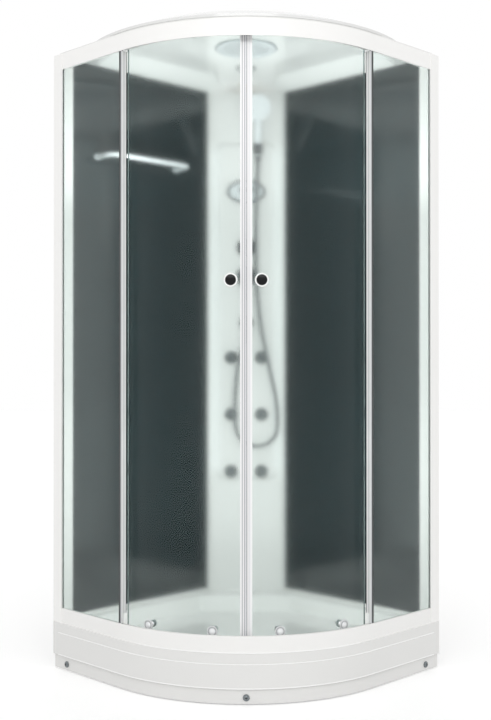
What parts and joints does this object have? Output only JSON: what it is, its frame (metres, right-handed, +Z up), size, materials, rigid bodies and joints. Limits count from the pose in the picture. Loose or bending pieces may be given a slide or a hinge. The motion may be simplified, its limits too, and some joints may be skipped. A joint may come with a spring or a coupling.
{
  "type": "steam shower cabin",
  "caption": "Corner steam shower cabin: quadrant tray, two curved sliding glass doors, dark back panels, white corner column with body jets, hand shower, rain shower and domed roof.",
  "frame": {"origin": "middle of the cabin's overall plan, on the floor", "axes": "+X to the right seen from the doors, +Y back towards the room corner, +Z up"},
  "size_m": [1.27, 1.0422, 2.082],
  "materials": {
    "white_acrylic": "gloss white acrylic",
    "frame_paint": "satin off-white powder coat on aluminium",
    "clear_glass": "clear toughened glass, faint green tint",
    "dark_glass": "opaque dark slate glass, polished",
    "chrome": "polished chrome plate",
    "dark_chrome": "dark polished chrome",
    "soft_seal": "translucent soft vinyl",
    "wheel_nylon": "grey-white nylon",
    "galvanised": "zinc plated steel",
    "pipe_brass": "plain brass",
    "drain_plastic": "matt white moulded plastic",
    "lamp_glass": "frosted lens",
    "display_face": "pale satin silver face",
    "white_plastic": "gloss white moulded plastic",
    "hose_steel": "spiral-wound bright metal hose"
  },
  "bodies": {
    "cabin": {"tray_basin": "white_acrylic", "tray_skirt": "white_acrylic", "skirt_screws": "chrome", "tray_frame": "galvanised", "leveling_feet": "galvanised", "drain_trap": "drain_plastic", "drain_flange": "chrome", "bottom_rail": "frame_paint", "top_rail": "frame_paint", "post_left": "frame_paint", "fixed_glass_left": "clear_glass", "fixed_seal_left": "soft_seal", "back_panel_left": "dark_glass", "post_right": "frame_paint", "fixed_glass_right": "clear_glass", "fixed_seal_right": "soft_seal", "back_panel_right": "dark_glass", "corner_column": "white_acrylic", "roof_shell": "white_acrylic", "rain_shower": "chrome", "lamp_bezel": "chrome", "lamp_lens": "lamp_glass", "control_bezel": "chrome", "control_face": "display_face", "valve_body": "chrome", "hose_outlet": "chrome", "jet_rings": "chrome", "holder_boss": "dark_chrome", "shelf_plate": "clear_glass", "shelf_rail": "chrome", "water_pipes": "pipe_brass", "shower_hose": "hose_steel"},
    "door_left": {"door_glass_left": "clear_glass", "door_hangers_left": "chrome", "door_knob_left": "chrome", "magnet_seal_left": "soft_seal"},
    "wheel_left_bottom_lead": {"wheel_left_bottom_lead": "wheel_nylon"},
    "wheel_left_bottom_trail": {"wheel_left_bottom_trail": "wheel_nylon"},
    "wheel_left_top_lead": {"wheel_left_top_lead": "wheel_nylon"},
    "wheel_left_top_trail": {"wheel_left_top_trail": "wheel_nylon"},
    "door_right": {"door_glass_right": "clear_glass", "door_hangers_right": "chrome", "door_knob_right": "chrome", "magnet_seal_right": "soft_seal"},
    "wheel_right_bottom_lead": {"wheel_right_bottom_lead": "wheel_nylon"},
    "wheel_right_bottom_trail": {"wheel_right_bottom_trail": "wheel_nylon"},
    "wheel_right_top_lead": {"wheel_right_top_lead": "wheel_nylon"},
    "wheel_right_top_trail": {"wheel_right_top_trail": "wheel_nylon"},
    "mixer_cap": {"mixer_cap": "chrome"},
    "mixer_lever": {"mixer_lever": "chrome"},
    "diverter_knob": {"diverter_knob": "chrome"},
    "jet_nozzle_1": {"jet_nozzle_1": "chrome"},
    "jet_nozzle_2": {"jet_nozzle_2": "chrome"},
    "jet_nozzle_3": {"jet_nozzle_3": "chrome"},
    "jet_nozzle_4": {"jet_nozzle_4": "chrome"},
    "jet_nozzle_5": {"jet_nozzle_5": "chrome"},
    "jet_nozzle_6": {"jet_nozzle_6": "chrome"},
    "shower_holder": {"shower_holder": "dark_chrome", "hand_shower": "white_plastic"},
    "drain_cover": {"drain_cover": "chrome"}
  },
  "joints": [
    {"name": "door_left_travel", "type": "hinge", "parent": "cabin", "child": "door_left", "pos_m": [0.072, 0.15951, 1.079], "axis": [0, 0, -1], "range_deg": [0, 22]},
    {"name": "wheel_left_bottom_lead_roll", "type": "hinge", "parent": "door_left", "child": "wheel_left_bottom_lead", "pos_m": [-0.1001, -0.48745, 0.2098], "axis": [-0.1908, -0.9816, 0], "range_deg": [0, 1080]},
    {"name": "wheel_left_bottom_trail_roll", "type": "hinge", "parent": "door_left", "child": "wheel_left_bottom_trail", "pos_m": [-0.29563, -0.40586, 0.2098], "axis": [-0.5635, -0.8261, 0], "range_deg": [0, 1080]},
    {"name": "wheel_left_top_lead_roll", "type": "hinge", "parent": "door_left", "child": "wheel_left_top_lead", "pos_m": [-0.1001, -0.48745, 1.9903], "axis": [-0.1908, -0.9816, 0], "range_deg": [0, 1080]},
    {"name": "wheel_left_top_trail_roll", "type": "hinge", "parent": "door_left", "child": "wheel_left_top_trail", "pos_m": [-0.29563, -0.40586, 1.9903], "axis": [-0.5635, -0.8261, 0], "range_deg": [0, 1080]},
    {"name": "door_right_travel", "type": "hinge", "parent": "cabin", "child": "door_right", "pos_m": [-0.072, 0.15951, 1.079], "axis": [0, 0, 1], "range_deg": [0, 22]},
    {"name": "wheel_right_bottom_lead_roll", "type": "hinge", "parent": "door_right", "child": "wheel_right_bottom_lead", "pos_m": [0.1001, -0.48745, 0.2098], "axis": [-0.1908, 0.9816, 0], "range_deg": [0, 1080]},
    {"name": "wheel_right_bottom_trail_roll", "type": "hinge", "parent": "door_right", "child": "wheel_right_bottom_trail", "pos_m": [0.29563, -0.40586, 0.2098], "axis": [-0.5635, 0.8261, 0], "range_deg": [0, 1080]},
    {"name": "wheel_right_top_lead_roll", "type": "hinge", "parent": "door_right", "child": "wheel_right_top_lead", "pos_m": [0.1001, -0.48745, 1.9903], "axis": [-0.1908, 0.9816, 0], "range_deg": [0, 1080]},
    {"name": "wheel_right_top_trail_roll", "type": "hinge", "parent": "door_right", "child": "wheel_right_top_trail", "pos_m": [0.29563, -0.40586, 1.9903], "axis": [-0.5635, 0.8261, 0], "range_deg": [0, 1080]},
    {"name": "mixer_turn", "type": "hinge", "parent": "cabin", "child": "mixer_cap", "pos_m": [0, 0.33449, 1.326], "axis": [0, -1, 0], "range_deg": [-45, 45]},
    {"name": "mixer_lift", "type": "hinge", "parent": "mixer_cap", "child": "mixer_lever", "pos_m": [0, 0.32999, 1.315], "axis": [-1, 0, 0], "range_deg": [0, 20]},
    {"name": "diverter_turn", "type": "hinge", "parent": "cabin", "child": "diverter_knob", "pos_m": [0, 0.34549, 1.434], "axis": [0, -1, 0], "range_deg": [-60, 60]},
    {"name": "jet_nozzle_1_tilt", "type": "hinge", "parent": "cabin", "child": "jet_nozzle_1", "pos_m": [-0.0565, 0.35159, 1.024], "axis": [1, 0, 0], "range_deg": [-15, 15]},
    {"name": "jet_nozzle_2_tilt", "type": "hinge", "parent": "cabin", "child": "jet_nozzle_2", "pos_m": [0.0565, 0.35159, 1.024], "axis": [1, 0, 0], "range_deg": [-15, 15]},
    {"name": "jet_nozzle_3_tilt", "type": "hinge", "parent": "cabin", "child": "jet_nozzle_3", "pos_m": [-0.0565, 0.35159, 0.812], "axis": [1, 0, 0], "range_deg": [-15, 15]},
    {"name": "jet_nozzle_4_tilt", "type": "hinge", "parent": "cabin", "child": "jet_nozzle_4", "pos_m": [0.0565, 0.35159, 0.812], "axis": [1, 0, 0], "range_deg": [-15, 15]},
    {"name": "jet_nozzle_5_tilt", "type": "hinge", "parent": "cabin", "child": "jet_nozzle_5", "pos_m": [-0.0565, 0.35159, 0.6], "axis": [1, 0, 0], "range_deg": [-15, 15]},
    {"name": "jet_nozzle_6_tilt", "type": "hinge", "parent": "cabin", "child": "jet_nozzle_6", "pos_m": [0.0565, 0.35159, 0.6], "axis": [1, 0, 0], "range_deg": [-15, 15]},
    {"name": "holder_swivel", "type": "hinge", "parent": "cabin", "child": "shower_holder", "pos_m": [0.043, 0.35049, 1.796], "axis": [0, -1, 0], "range_deg": [-15, 15], "deforming": ["shower_hose"]},
    {"name": "drain_cover_lift", "type": "slide", "parent": "cabin", "child": "drain_cover", "axis": [0, 0, 1], "range_m": [0, 0.03]}
  ],
  "couplings": [
    {"joint": "wheel_left_bottom_lead_roll", "follows": "door_left_travel", "ratio": 41.841},
    {"joint": "wheel_left_bottom_trail_roll", "follows": "door_left_travel", "ratio": 42.149},
    {"joint": "wheel_left_top_lead_roll", "follows": "door_left_travel", "ratio": 47.819},
    {"joint": "wheel_left_top_trail_roll", "follows": "door_left_travel", "ratio": 48.17},
    {"joint": "wheel_right_bottom_lead_roll", "follows": "door_right_travel", "ratio": 41.841},
    {"joint": "wheel_right_bottom_trail_roll", "follows": "door_right_travel", "ratio": 42.149},
    {"joint": "wheel_right_top_lead_roll", "follows": "door_right_travel", "ratio": 47.819},
    {"joint": "wheel_right_top_trail_roll", "follows": "door_right_travel", "ratio": 48.17}
  ]
}
